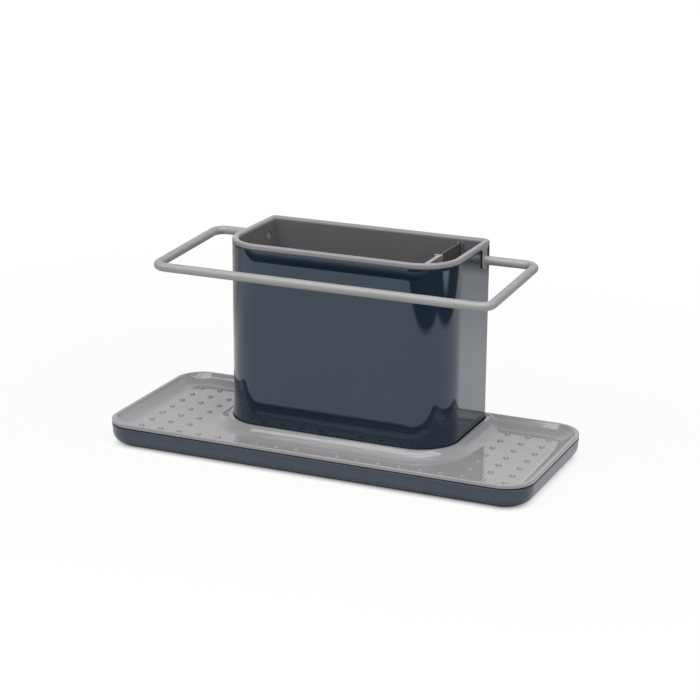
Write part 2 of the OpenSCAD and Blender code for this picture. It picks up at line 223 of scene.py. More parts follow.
class CaddyStage(bpy.types.PropertyGroup):
    """Camera, floor and light"""

    eye: vector(
        "Camera", "Place of the camera", (0.5217, -1.1752, 0.4731), subtype="XYZ", unit="LENGTH"
    )
    focal: number("Focal length", "On a 36 mm sensor, in millimetres", 104.39, min=10.0)
    floor: size("Floor", "Width of the floor", 24.0)
    floor_tint: colour("Floor colour", "Pale colour of the floor", (0.90, 0.90, 0.90))
    # The sheet's edges bound a painted reflection: beyond them, gloss shows a dark room
    front_edge: vector(
        "Sheet's front", "Direction and distance of the pale sheet's front edge",
        (0.532, 0.847, 0.366),
    )
    right_edge: size("Sheet's right", "Distance of the pale sheet's right edge", 0.405)
    back_edge: size("Sheet's back", "Distance of the pale sheet's back edge", 0.45)
    blur: size("Sheet's blur", "Half width of the sheet's soft edge", 0.012)
    # Painted reflection: the dark room that gloss alone shows beyond the sheet
    gloom: share("Gloom", "Brightness of the room beyond the sheet, seen in gloss only", 0.12)
    glow: share("Glow", "Share of the floor's brightness that shadows leave alone", 0.88)
    bounce: share("Bounce", "Paleness of the floor for the light it throws back", 0.64)
    # Painted reflection: how bright the world is overhead, in gloss only
    high: share("High gloss", "Brightness of the room overhead, seen in gloss", 0.12)
    side: share("Side", "How much stronger the light from the right is", 0.90)
    front: share("Front", "How much stronger the light from the front is", 0.45)
    # Reach of the painted contact shadow: a dark line painted on the floor round the base's foot
    contact: size("Contact", "Reach of the dark line round the foot of the base", 0.001)
    sky: share("Sky", "Strength of the light from all sides", 0.36)
    key: number("Key light", "Power of the overhead light", 33.0, min=0.0, unit="POWER")


# --- outlines and meshes ----------------------------------------------------------------------


def plan(half, front, back, r_front, r_back):
    """A rounded rectangle with evenly cut sides, counter-clockwise from the right of its front"""
    corners = [
        (half - r_front, front + r_front, r_front, -90),
        (half - r_back, back - r_back, r_back, 0),
        (-half + r_back, back - r_back, r_back, 90),
        (-half + r_front, front + r_front, r_front, 180),
    ]
    arcs = []
    for x, y, r, start in corners:
        turn = np.radians(start + 90 * np.arange(CORNER_STEPS + 1) / CORNER_STEPS)
        arcs.append(np.stack([x + r * np.cos(turn), y + r * np.sin(turn)], 1))
    points = []
    for arc, after in zip(arcs, arcs[1:] + arcs[:1]):
        points.append(arc)
        steps = np.arange(1, SIDE_STEPS)[:, None] / SIDE_STEPS
        points.append(arc[-1] + (after[0] - arc[-1]) * steps)
    return np.concatenate(points)


def base_plan(inset):
    r = bpy.context.scene.caddy_base.corner - inset
    return plan(BASE_HI.x - inset, BASE_LO.y + inset, BASE_HI.y - inset, r, r)


def casing_plan(inset):
    p = bpy.context.scene.caddy_casing
    r_back = max(p.back_corner - inset, 0.3 * MM)
    front, back = CASING_LO.y + inset, CASING_HI.y - inset
    return plan(CASING_HI.x - inset, front, back, p.front_corner - inset, r_back)


def casing_distance(x, y):
    """How far points of the plan lie outside the casing, negative inside"""
    c = bpy.context.scene.caddy_casing
    r = np.where(y < CASING_MIDDLE, c.front_corner, c.back_corner)
    qx = np.abs(x) - (CASING_HI.x - r)
    qy = np.abs(y - CASING_MIDDLE) - ((CASING_HI.y - CASING_LO.y) / 2 - r)
    outside = np.hypot(np.maximum(qx, 0), np.maximum(qy, 0))
    return outside + np.minimum(np.maximum(qx, qy), 0) - r


def rounded(path, steps=6, closed=False):
    """A path of (across, up, radius) corners, with each corner that has a radius rounded"""
    out = []
    last = len(path) - 1
    for i, (x, z, r) in enumerate(path):
        if r == 0 or (not closed and i in (0, last)):
            out.append((x, z))
            continue
        p = np.array((x, z))
        before = np.array(path[i - 1][:2]) - p
        after = np.array(path[(i + 1) % len(path)][:2]) - p
        before, after = before / np.linalg.norm(before), after / np.linalg.norm(after)
        half_turn = math.acos(np.clip(before @ after, -1, 1)) / 2
        middle = (before + after) / np.linalg.norm(before + after)
        centre = p + middle * r / math.sin(half_turn)
        start = p + before * r / math.tan(half_turn) - centre
        end = p + after * r / math.tan(half_turn) - centre
        a0, a1 = math.atan2(start[1], start[0]), math.atan2(end[1], end[0])
        sweep = (a1 - a0 + math.pi) % (2 * math.pi) - math.pi
        for k in range(steps + 1):
            a = a0 + sweep * k / steps
            out.append((centre[0] + r * math.cos(a), centre[1] + r * math.sin(a)))
    return out


def place(name, data):
    """Puts a new object into the scene"""
    obj = bpy.data.objects.new(name, data)
    bpy.context.scene.collection.objects.link(obj)
    return obj


def spots_of(obj):
    return np.array([v.co[:] for v in obj.data.vertices])


class Shell:
    """Collects the vertices and faces of one piece"""

    def __init__(self):
        self.points, self.faces, self.normals = [], [], {}

    def ring(self, flat, z):
        """Adds points at a height, or at one height each, and returns their numbers"""
        first = len(self.points)
        heights = np.broadcast_to(z, len(flat))
        self.points += [(x, y, h) for (x, y), h in zip(flat, heights)]
        return list(range(first, len(self.points)))

    def add(self, points):
        first = len(self.points)
        self.points += [tuple(p) for p in points]
        return list(range(first, len(self.points)))

    def band(self, a, b):
        """Joins two loops of as many points; seen from outside, b lies above a"""
        n = len(a)
        self.faces += [(a[i], a[(i + 1) % n], b[(i + 1) % n], b[i]) for i in range(n)]

    def bands(self, loops):
        for a, b in zip(loops, loops[1:]):
            self.band(a, b)

    def sweep(self, outline, profile):
        """Walls whose profile of (inset, height) follows an outline; returns their rings"""
        loops = [self.ring(outline(inset), z) for inset, z in profile]
        self.bands(loops)
        return loops

    def plate(self, outline, holes=(), down=False):
        """Fills a level outline, with holes, facing up or down"""
        numbers, edges, owner = [], [], []
        for k, loop in enumerate([outline, *holes]):
            first, n = len(numbers), len(loop)
            edges += [(first + i, first + (i + 1) % n) for i in range(n)]
            numbers += loop
            owner += [k] * n
        flat = [Vector(self.points[i][:2]) / MM for i in numbers]
        _, _, triangles, origin, _, _ = delaunay_2d_cdt(flat, edges, [], 1, 1e-6, True)
        for triangle in triangles:
            corners = [origin[i][0] for i in triangle]
            hole = {owner[i] for i in corners}
            if len(hole) == 1 and hole != {0}:
                continue
            a, b, c = (numbers[i] for i in corners)
            self.faces.append((c, b, a) if down else (a, b, c))

    def piece(self, name):
        mesh = bpy.data.meshes.new(name)
        mesh.from_pydata(self.points, [], self.faces)
        mesh.update()
        obj = place(name, mesh)
        smooth(obj, self.normals)
        return obj


def smooth(obj, given=None, angle=38):
    """Smooth shading that keeps flat faces flat and edges sharper than an angle crisp"""
    mesh = obj.data
    loops, faces = len(mesh.loops), len(mesh.polygons)
    corner = np.empty(loops, int)
    mesh.loops.foreach_get("vertex_index", corner)
    total, normal, area = np.empty(faces, int), np.empty(faces * 3), np.empty(faces)
    mesh.polygons.foreach_get("loop_total", total)
    mesh.polygons.foreach_get("normal", normal)
    mesh.polygons.foreach_get("area", area)
    face = np.repeat(np.arange(faces), total)
    normal = normal.reshape(-1, 3)
    order = np.argsort(corner, kind="stable")
    valence = np.bincount(corner, minlength=len(mesh.vertices))
    start = np.cumsum(valence) - valence
    k = valence[corner]
    left = np.repeat(np.arange(loops), k)
    step = np.arange(len(left)) - np.repeat(np.cumsum(k) - k, k)
    right = order[np.repeat(start[corner], k) + step]
    like = (normal[face[left]] * normal[face[right]]).sum(1) > math.cos(math.radians(angle))
    weight = area[face[right]] * like
    blend = np.stack(
        [np.bincount(left, weight * normal[face[right], axis], loops) for axis in range(3)], 1
    )
    flat = np.linalg.norm(blend, axis=1) < 1e-12
    blend[flat] = normal[face[flat]]
    blend /= np.linalg.norm(blend, axis=1)[:, None] + 1e-20
    if given:
        known = np.zeros((len(mesh.vertices), 3))
        for number, direction in given.items():
            known[number] = direction
        use = (known[corner] ** 2).sum(1) > 0.5
        near = (known[corner] * normal[face]).sum(1) > 0.5
        blend[use & near] = known[corner][use & near]
    mesh.shade_smooth()
    mesh.normals_split_custom_set(blend.tolist())


def carve(obj, tools, operation="DIFFERENCE"):
    """Cuts closed tool shells from a piece, or joins them to it, and drops them"""
    for tool in tools:
        cut = obj.modifiers.new("cut", "BOOLEAN")
        cut.operation, cut.solver, cut.object = operation, "MANIFOLD", tool
    graph = bpy.context.evaluated_depsgraph_get()
    shape = bpy.data.meshes.new_from_object(obj.evaluated_get(graph))
    obj.modifiers.clear()
    old, obj.data = obj.data, shape
    bpy.data.meshes.remove(old)
    obj.data.name = obj.name
    for tool in tools:
        bpy.data.objects.remove(tool)


def prism(outline, low, high, edge=0.0):
    """A solid from a counter-clockwise outline, with the edges of its ends rounded"""
    mesh = bpy.data.meshes.new("prism")
    n = len(outline)
    points = [(x, y, z) for z in (low, high) for x, y in outline]
    faces = [tuple(range(n))[::-1], tuple(range(n, 2 * n))]
    faces += [(i, (i + 1) % n, n + (i + 1) % n, n + i) for i in range(n)]
    mesh.from_pydata(points, [], faces)
    obj = place("prism", mesh)
    if edge:
        level = [points[a][2] == points[b][2] for a, b in mesh.edge_keys]
        weights = mesh.attributes.new("bevel_weight_edge", "FLOAT", "EDGE")
        weights.data.foreach_set("value", np.array(level, float))
        bevel = obj.modifiers.new("bevel", "BEVEL")
        bevel.limit_method, bevel.width, bevel.segments = "WEIGHT", edge, 3
        carve(obj, [])
    return obj


# Turns a shape drawn in (Y, Z) and raised along Z into one raised along X
ALONG_X = Matrix(((0, 0, 1, 0), (1, 0, 0, 0), (0, 1, 0, 0), (0, 0, 0, 1)))


def at_ends(outline, near, far, edge=0.0):
    """The same solid at the caddy's left and right ends, drawn in (Y, Z) and raised along X"""
    solids = [prism(outline, *sorted((s * near, s * far)), edge) for s in (-1, 1)]
    for solid in solids:
        solid.data.transform(ALONG_X)
    return solids


def circle(x, y, r, steps=HOLE_STEPS):
    a = 2 * np.pi * np.arange(steps) / steps
    return np.stack([x + r * np.cos(a), y + r * np.sin(a)], 1)


def arc(x, y, r, start, end, steps=10):
    a = np.radians(np.linspace(start, end, steps + 1))
    return [(x + r * math.cos(t), y + r * math.sin(t)) for t in a]


def capsule(x, low, high, r):
    """An upright slot's outline, counter-clockwise, from the centres of its two ends"""
    return arc(x, high, r, 0, 180) + arc(x, low, r, 180, 360)


def oblong(x0, x1, y0, y1):
    return [(x0, y0), (x1, y0), (x1, y1), (x0, y1)]


def drain_spots(margin, pitch):
    """Places of drain holes under the casing's plan, kept a margin from its sides"""
    nx = int((CASING_HI.x - margin) / pitch)
    ny = int(((CASING_HI.y - CASING_LO.y) / 2 - margin) / pitch)
    rows = range(-ny, ny + 1)
    return [(i * pitch, CASING_MIDDLE + j * pitch) for i in range(-nx, nx + 1) for j in rows]


def drain_holes(shell, spots, profile, steps=HOLE_STEPS):
    """Walls of holes with a profile of (radius, height) going up; returns their end rings"""
    low, high = [], []
    for x, y in spots:
        rings = [shell.ring(circle(x, y, r, steps), z) for r, z in profile]
        for a, b in zip(rings, rings[1:]):
            shell.band(b, a)
        low.append(rings[0])
        high.append(rings[-1])
    return low, high


def mark(obj, name, values, kind="FLOAT"):
    """Stores values at a piece's vertices for its material to read"""
    layer = obj.data.attributes.new(name, kind, "POINT")
    layer.data.foreach_set("vector" if kind == "FLOAT_VECTOR" else "value", np.ravel(values))


def finish(obj, body, node, material):
    """Gives a piece its material and body, hides its CAD node, and returns its operator's result"""
    obj.data.materials.clear()
    obj.data.materials.append(material)
    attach(obj, body)
    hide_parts(node)
    return {"FINISHED"}


# --- materials --------------------------------------------------------------------------------


class Value:
    """A socket that Python's operators turn into Math nodes"""

    def __init__(self, graph, socket):
        self.graph, self.socket = graph, socket

    def beside(self, output):
        """Another output of the same node"""
        return Value(self.graph, self.socket.node.outputs[output])

    def math(self, operation, *others):
        return self.graph.math(operation, self, *others)

    def __add__(self, other):
        return self.math("ADD", other)

    def __sub__(self, other):
        return self.math("SUBTRACT", other)

    def __rsub__(self, other):
        return self.graph.math("SUBTRACT", other, self)

    def __mul__(self, other):
        return self.math("MULTIPLY", other)

    def __truediv__(self, other):
        return self.math("DIVIDE", other)

    def __pow__(self, other):
        return self.math("POWER", other)

    __radd__ = __add__
    __rmul__ = __mul__


class Graph:
    """The nodes of a material or a world, built from expressions"""

    def __init__(self, owner):
        owner.use_nodes = True
        self.owner, self.tree = owner, owner.node_tree
        self.tree.nodes.clear()

    def make(self, kind, settings=None, inputs=None, output=0):
        """Adds a node: its settings first, then its sockets' values or links"""
        node = self.tree.nodes.new(kind)
        for key, value in (settings or {}).items():
            setattr(node, key, value)
        for key, value in (inputs or {}).items():
            self.put(node.inputs[key], value)
        return Value(self, node.outputs[output]) if node.outputs else node

    def put(self, socket, value):
        if isinstance(value, Value):
            self.tree.links.new(value.socket, socket)
        elif socket.type == "RGBA" and len(value) == 3:
            socket.default_value = (*value, 1.0)
        else:
            socket.default_value = value

    def math(self, operation, *values):
        return self.make("ShaderNodeMath", {"operation": operation}, dict(enumerate(values)))

    def place(self, output="Object"):
        return self.make("ShaderNodeTexCoord", output=output)

    def attribute(self, name, output="Fac"):
        return self.make("ShaderNodeAttribute", {"attribute_name": name}, output=output)

    def rays(self):
        """Whether a ray comes from the camera, from gloss, or through something clear"""
        camera = self.make("ShaderNodeLightPath", output="Is Camera Ray")
        return camera, camera.beside("Is Glossy Ray"), camera.beside("Is Transmission Ray")

    def noise(self, scale, detail=2.0, place=None, stretch=None, rough=0.5):
        place = place or self.place()
        if stretch:
            place = self.make("ShaderNodeMapping", None, {"Vector": place, "Scale": stretch})
        inputs = {"Vector": place, "Scale": scale, "Detail": detail, "Roughness": rough}
        return self.make("ShaderNodeTexNoise", None, inputs)

    def spread(self, value, low, high, to_low=0.0, to_high=1.0):
        """Maps a range to another, held at its ends"""
        inputs = {"Value": value, "From Min": low, "From Max": high}
        inputs.update({"To Min": to_low, "To Max": to_high})
        return self.make("ShaderNodeMapRange", {"clamp": True}, inputs)

    def mix(self, factor, a, b):
        return self.make("ShaderNodeMix", {"data_type": "RGBA"}, {0: factor, 6: a, 7: b}, 2)

    def bump(self, height, distance, strength, **under):
        inputs = {"Height": height, "Distance": distance, "Strength": strength, **under}
        return self.make("ShaderNodeBump", None, inputs)

    def diffuse(self, shade):
        return self.make("ShaderNodeBsdfDiffuse", None, {"Color": shade})

    def glow(self, strength):
        return self.make("ShaderNodeEmission", None, {"Color": WHITE, "Strength": strength})

    def end(self, shader, kind="ShaderNodeOutputMaterial"):
        """Shows a shader, and returns the material or world"""
        self.make(kind, None, {"Surface": shader})
        return self.owner

    def surface(self, **sockets):
        return self.end(self.make("ShaderNodeBsdfPrincipled", None, {
            SOCKETS.get(name, name.replace("_", " ").title()): value
            for name, value in sockets.items()
        }))


# Sockets whose names don't follow from the short names in lower case
SOCKETS = {"ior": "IOR"}
WHITE = (1.0, 1.0, 1.0)

# Noise in cells to the metre: clouds in the colour, handling marks, specks, moulded grain, waves
CLOUDS, MARKS, SPECKS, GRAIN, WAVES = 22.0, 38.0, 900.0, 2600.0, 70.0
# The same for the clouds in the metal and the grain of the rubber
METAL_CLOUDS, RUBBER_GRAIN = 45.0, 1600.0
# The middle part of a noise's range, which is spread to 0 and 1
MIDDLE = (0.35, 0.65)
# How much duller the shaded inside of a container is
INNER_DULL = 0.35
# Stretches of the handling marks, and of the lines drawn along the rod
SMEAR = (1.0, 1.0, 2.6)
DRAWN = (26.0, 2400.0, 2400.0)


def tone(shade, gain):
    return tuple(min(c * gain, 1.0) for c in shade)


def gloss_plastic(
    name, tint, rough, grain, coat=0.0, cloud=0.05, smudge=0.04, ior=1.5, gleam=WHITE, inner=None
):
    """Moulded plastic: faint clouds, a fine tooled grain, and handling marks that dull it

    Where the piece's mark "inner" is 1, its colour is multiplied by the given share, as a painted
    shade
    """
    g = Graph(bpy.data.materials.new(name))
    base = g.mix(
        g.spread(g.noise(CLOUDS, 3.0), *MIDDLE), tone(tint, 1 - cloud), tone(tint, 1 + cloud)
    )
    marks = g.spread(g.noise(MARKS, 4.0, stretch=SMEAR, rough=0.62), 0.52, 0.74)
    specks = g.spread(g.noise(SPECKS, 1.0), 0.60, 0.72)
    dull = rough + marks * smudge + specks * (smudge * 0.5)
    if inner:
        # Painted shade: the colour darkens where the mark inner is 1, standing in for the shade
        # inside a container
        painted_shade = g.attribute("inner")
        base = g.mix(painted_shade, base, tone(tint, inner))
        dull = dull + painted_shade * INNER_DULL
    waves = g.bump(g.noise(WAVES, 1.0), grain * 4.0, 0.5)
    return g.surface(
        base_color=base, roughness=dull, ior=ior, specular_tint=gleam, coat_weight=coat,
        coat_roughness=rough * 0.6, normal=g.bump(g.noise(GRAIN), grain, 0.6, Normal=waves),
    )


def satin_metal(name, tint):
    """Satin rod: fine drawn lines along its length, and slight clouding"""
    g = Graph(bpy.data.materials.new(name))
    lines = g.noise(1.0, 3.0, g.attribute("grain", "Vector"), DRAWN, 0.6)
    clouds = g.spread(g.noise(METAL_CLOUDS, 3.0), *MIDDLE)
    base = g.mix(clouds, tone(tint, 0.95), tone(tint, 1.05))
    base = g.mix(g.spread(lines, 0.3, 0.7), tone(tint, 0.92), base)
    dull = 0.50 + clouds * 0.05 + lines * 0.10
    return g.surface(
        base_color=base, metallic=0.3, roughness=dull, normal=g.bump(lines, 3e-6, 0.5)
    )


def soft_rubber(name, tint):
    """Black rubber with a fine open grain"""
    g = Graph(bpy.data.materials.new(name))
    grain = g.noise(RUBBER_GRAIN, 3.0)
    base = g.mix(g.spread(grain, *MIDDLE), tone(tint, 0.8), tone(tint, 1.3))
    dull = 0.72 + grain * 0.12
    return g.surface(base_color=base, roughness=dull, normal=g.bump(grain, 4e-5, 0.6))


# --- pieces -----------------------------------------------------------------------------------


def build_base(p):
    low, top = BASE_LO.z, BASE_HI.z
    outer = rounded([
        (p.step + p.roll, low, 0),
        (p.step, low, p.roll * 0.999),
        (p.step, top - p.band - p.step, p.edge),
        (0, top - p.band, p.edge * 0.4),
        (0, top - p.lip, p.edge),
        (p.lip_w, top - p.lip, 0),
        (p.lip_w, top, p.edge * 0.5),
        (p.wall, top, p.edge),
        (p.wall, low + p.floor, p.roll - p.wall),
        (p.roll, low + p.floor, 0),
    ], steps=8)
    shell = Shell()
    loops = shell.sweep(base_plan, outer)
    shell.plate(loops[0], down=True)
    shell.plate(loops[-1])
    return shell.piece("drip_base")


def build_feet(p):
    shell = Shell()
    lo, hi = FEET_LO, FEET_HI
    spots = spots_of(frame["nodes"]["base_feet"])
    first = spots[(spots[:, 0] > 0) & (spots[:, 1] > 0)]
    radius = np.ptp(first[:, 0]) / 2
    profile = rounded([(radius * 0.5, lo.z, 0), (radius, lo.z, p.edge), (radius, hi.z, 0)], 4)
    for sx in (-1, 1):
        for sy in (-1, 1):
            x, y = sx * (hi.x - radius), sy * (hi.y - radius)
            loops = shell.sweep(lambda r: circle(x, y, r), profile)
            shell.plate(loops[0], down=True)
            shell.plate(loops[-1])
    return shell.piece("soft_feet")


# Tilt of the slope round the ledge at its top
SLOPE_STEEP = math.radians(62)
# How tightly the cove and the slope merge where they meet
MERGE = 4.0
# Share of the channel's width that each of its sides takes
CHANNEL_SIDE = 0.34
# Points along the cove's curve, loops that follow it, and points on the slope, a bump and the arch
COVE_CUTS, COVE_RINGS, SLOPE_CUTS, DOME_CUTS, ARCH_CUTS = 31, 19, 25, 29, 9
# Where a bump's round side ends in its foot
DOME_END = math.radians(84)
# Points keep this far from the rim's and the pocket's edges, and from the slot
CLEAR_RIM, CLEAR_POCKET, CLEAR_SLOT = 0.15 * MM, 0.12 * MM, 0.05 * MM
# Points along a side of the channel, and the grids' distance from it in its widths
CHANNEL_CUTS, CHANNEL_CLEAR = 24, 0.8
# Places of points: across the rim's inner bend, over the slope, round a bump and round the channel
BEND_AT = (-1.3, -0.9, -0.6, -0.3, 0, 0.3, 0.6, 0.9, 1.3)
SLOPE_AT = (0.05, 0.1, 0.17, 0.25, 0.34, 0.44, 0.55, 0.66, 0.77, 0.88, 1.0)
BUMP_AT = (0.2, 0.4, 0.56, 0.68, 0.77, 0.84, 0.9, 0.945, 0.975, 1.0, 1.03, 1.08, 1.16)
CHANNEL_AT = (0.32, 0.42, 0.52, 0.6, 0.68, 0.76, 0.84, 0.92, 1.0, 1.1, 1.25)
# Grids of points in millimetres, in x, y and pitch: the tray, and the strip behind the container
TRAY_GRID = ((-145, 145.1), (-57, 57.1), 5)
BACK_GRID = ((-104, 104.1), (44, 61.1), 0.9)
# The triangulation works in millimetres
TO_MM = 1000


class TrayShape:
    """Heights of the tray's upper face, worked out at any point of its plan"""

    def __init__(self, p):
        self.p = p
        self.floor = TRAY_LO.z + p.wall
        self.crest = TRAY_HI.z
        steep = 2 * math.atan((self.crest - self.floor) / p.cove)
        radius, inside = p.cove / math.sin(steep), p.crest + p.cove
        turns = steep * np.linspace(1, 0, COVE_RINGS)
        self.cove_steps = [inside - radius * math.sin(a) for a in turns]
        cove = [
            (inside - radius * math.sin(a), self.floor + radius * (1 - math.cos(a)))
            for a in np.linspace(steep, 0, COVE_CUTS)
        ]
        rim = rounded([(0, self.crest, 0), (p.crest, self.crest, p.crest_round), (*cove[3], 0)])
        self.rim = np.array(rim + cove[4:])
        steep = SLOPE_STEEP
        rise = p.ledge_top - self.floor
        out = p.gap + p.ledge
        slope = [
            (out + p.slope * (1 - math.sin(a) / math.sin(steep)),
             self.floor + rise * (1 - math.cos(a)) / (1 - math.cos(steep)))
            for a in np.linspace(steep, 0, SLOPE_CUTS)
        ]
        foot = rounded([(0, p.ledge_top, 0), (out, p.ledge_top, p.ledge_round), (*slope[2], 0)])
        self.slope = np.array(foot + slope[3:])
        r, k = p.bump / 2, 2 / p.bump_side
        turns = np.linspace(0, DOME_END, DOME_CUTS)
        dome = [(r * math.sin(a) ** k, p.bump_h * math.cos(a) ** k) for a in turns]
        edge = rounded([(*dome[-1], 0), (r, 0, p.bump_foot), (r * 1.5, 0, 0)])
        self.dome = np.array(dome + edge[1:])
        back = (p.rows - 1) / 2
        ends = range(p.front - p.columns + 1, p.front + 1)
        places = [(s * i, j - back) for s in (-1, 1) for i in ends for j in range(p.rows)]
        places += [(s * i, -back) for s in (-1, 1) for i in range(1, ends[0])]
        self.bumps = np.array(places) * p.pitch
        self.channel_x = -CASING_HI.x - p.channel_off
        self.channel_y = (CASING_MIDDLE - p.channel_l / 2, CASING_MIDDLE + p.channel_l / 2)

    def rim_inset(self, x, y):
        p = self.p
        qx = np.abs(x) - (TRAY_HI.x - p.corner)
        qy = np.abs(y) - (TRAY_HI.y - p.corner)
        outside = np.hypot(np.maximum(qx, 0), np.maximum(qy, 0))
        return p.corner - outside - np.minimum(np.maximum(qx, qy), 0)

    def channel_distance(self, x, y):
        half = self.p.channel_w / 2
        nearest = np.clip(y, self.channel_y[0] + half, self.channel_y[1] - half)
        return np.hypot(x - self.channel_x, y - nearest)

    def height(self, x, y):
        p = self.p
        a = np.interp(self.rim_inset(x, y), self.rim[:, 0], self.rim[:, 1]) - self.floor
        b = np.interp(casing_distance(x, y), self.slope[:, 0], self.slope[:, 1]) - self.floor
        a, b = np.maximum(a, 0), np.maximum(b, 0)
        z = np.minimum((a ** MERGE + b ** MERGE) ** (1 / MERGE), self.crest - self.floor)
        z = np.where(np.minimum(a, b) < 1e-7, np.maximum(a, b), z)
        for spot in self.bumps:
            d = np.hypot(x - spot[0], y - spot[1])
            rise = np.interp(d, self.dome[:, 0], self.dome[:, 1])
            z = z + np.where(d < self.dome[-1, 0], rise, 0)
        inside = p.channel_w / 2 - self.channel_distance(x, y)
        t = np.clip(inside / (CHANNEL_SIDE * p.channel_w), 0, 1)
        t = t * t * (3 - 2 * t)
        return self.floor + z + (-p.channel_deep - z) * t

    def normal(self, x, y):
        """The upper face's direction, from its heights close by"""
        h = 1e-5
        dx = (self.height(x + h, y) - self.height(x - h, y)) / (2 * h)
        dy = (self.height(x, y + h) - self.height(x, y - h)) / (2 * h)
        n = np.stack([-dx, -dy, np.ones_like(dx)], 1)
        return n / np.linalg.norm(n, axis=1)[:, None]


def grid(across, ahead, pitch):
    rows = np.arange(*ahead, pitch)
    return np.array([(x, y) for x in np.arange(*across, pitch) for y in rows]) * MM


def tray_top(shell, shape, outer, inner, slot):
    """Fills the upper face between three loops of the shell with triangles that follow it"""
    p = shape.p
    flat, edges = [], []
    loops = [np.array([shell.points[i][:2] for i in loop]) for loop in (outer, inner, slot)]
    for loop in loops:
        first, n = len(flat), len(loop)
        flat.extend(map(tuple, loop))
        edges += [(first + i, first + (i + 1) % n) for i in range(n)]
    fixed = len(flat)
    crest_in = shape.rim_inset(*loops[0][0])
    pocket = casing_distance(*loops[1][0])
    slot_r = np.ptp(loops[2][:, 0]) / 2
    slot_y = loops[2][:, 1].min() + slot_r, loops[2][:, 1].max() - slot_r

    def slot_distance(x, y):
        return np.hypot(x - shape.channel_x, y - np.clip(y, *slot_y))

    def inside(points):
        clear = casing_distance(*points.T) > pocket + CLEAR_POCKET
        return (shape.rim_inset(*points.T) > crest_in + CLEAR_RIM) & clear

    def curve(points):
        keep = inside(points)
        numbers = np.full(len(points), -1)
        numbers[keep] = len(flat) + np.arange(keep.sum())
        flat.extend(map(tuple, points[keep]))
        ends = zip(numbers, np.roll(numbers, -1))
        edges.extend((int(i), int(j)) for i, j in ends if i >= 0 and j >= 0)

    bend = p.crest_round * 0.45
    for d in [p.crest + bend * t for t in BEND_AT] + shape.cove_steps[2:]:
        curve(base_plan(d))
    out = p.gap + p.ledge
    steps = [p.gap + 0.8 * MM, out - 0.5 * MM, out - 0.25 * MM, out, out + 0.25 * MM]
    for d in steps + [out + p.slope * t for t in SLOPE_AT]:
        curve(casing_plan(-d))
    for spot in shape.bumps:
        flat.append(tuple(spot))
        for r in BUMP_AT:
            flat.extend(map(tuple, circle(*spot, r * p.bump / 2, BUMP_STEPS)))
    half = p.channel_w / 2
    low, high = shape.channel_y[0] + half, shape.channel_y[1] - half
    for r in CHANNEL_AT:
        flat.extend(capsule(shape.channel_x, low, high, r * half))
        for y in np.linspace(low, high, CHANNEL_CUTS)[1:-1]:
            flat += [(shape.channel_x - r * half, y), (shape.channel_x + r * half, y)]
    strip = grid(*BACK_GRID)
    cove = shape.rim_inset(*strip.T) < p.crest + p.cove
    strip = strip[cove & (casing_distance(*strip.T) < out + p.slope)]
    extra = np.concatenate([grid(*TRAY_GRID), strip])
    extra = extra[inside(extra)]
    away = shape.channel_distance(*extra.T) > CHANNEL_CLEAR * p.channel_w
    flat.extend(map(tuple, extra[away]))

    spots = np.array(flat)
    in_slot = slot_distance(*spots.T) < slot_r + CLEAR_SLOT
    in_slot[:fixed] = False
    renumber = np.cumsum(~in_slot) - 1
    edges = [
        (int(renumber[a]), int(renumber[b])) for a, b in edges if not in_slot[a] and not in_slot[b]
    ]
    level = [Vector(spot * TO_MM) for spot in spots[~in_slot]]
    verts, _, faces, origin, _, _ = delaunay_2d_cdt(level, edges, [], 0, 1e-5, True)
    verts = np.array([v[:] for v in verts]) / TO_MM
    known = dict(enumerate(outer + inner + slot))
    numbers = [next((known[s] for s in sources if s in known), None) for sources in origin]
    z, normals = shape.height(*verts.T), shape.normal(*verts.T)
    for i, number in enumerate(numbers):
        if number is None:
            numbers[i] = len(shell.points)
            shell.points.append((*verts[i], z[i]))
        shell.normals[numbers[i]] = normals[i]
    corners = np.array(faces)
    a, b, c = (verts[corners[:, k]] for k in range(3))
    middle = (a + b + c) / 3
    turn = (b[:, 0] - a[:, 0]) * (c[:, 1] - a[:, 1]) - (b[:, 1] - a[:, 1]) * (c[:, 0] - a[:, 0])
    keep = shape.rim_inset(*middle.T) > crest_in - 1e-9
    keep &= casing_distance(*middle.T) > pocket - 1e-6
    keep &= slot_distance(*middle.T) > slot_r * 0.98
    keep &= np.abs(turn) > 1e-14
    for triangle, ccw in zip(corners[keep], turn[keep] > 0):
        face = tuple(numbers[i] for i in (triangle if ccw else triangle[::-1]))
        if len(set(face)) == 3:
            shell.faces.append(face)


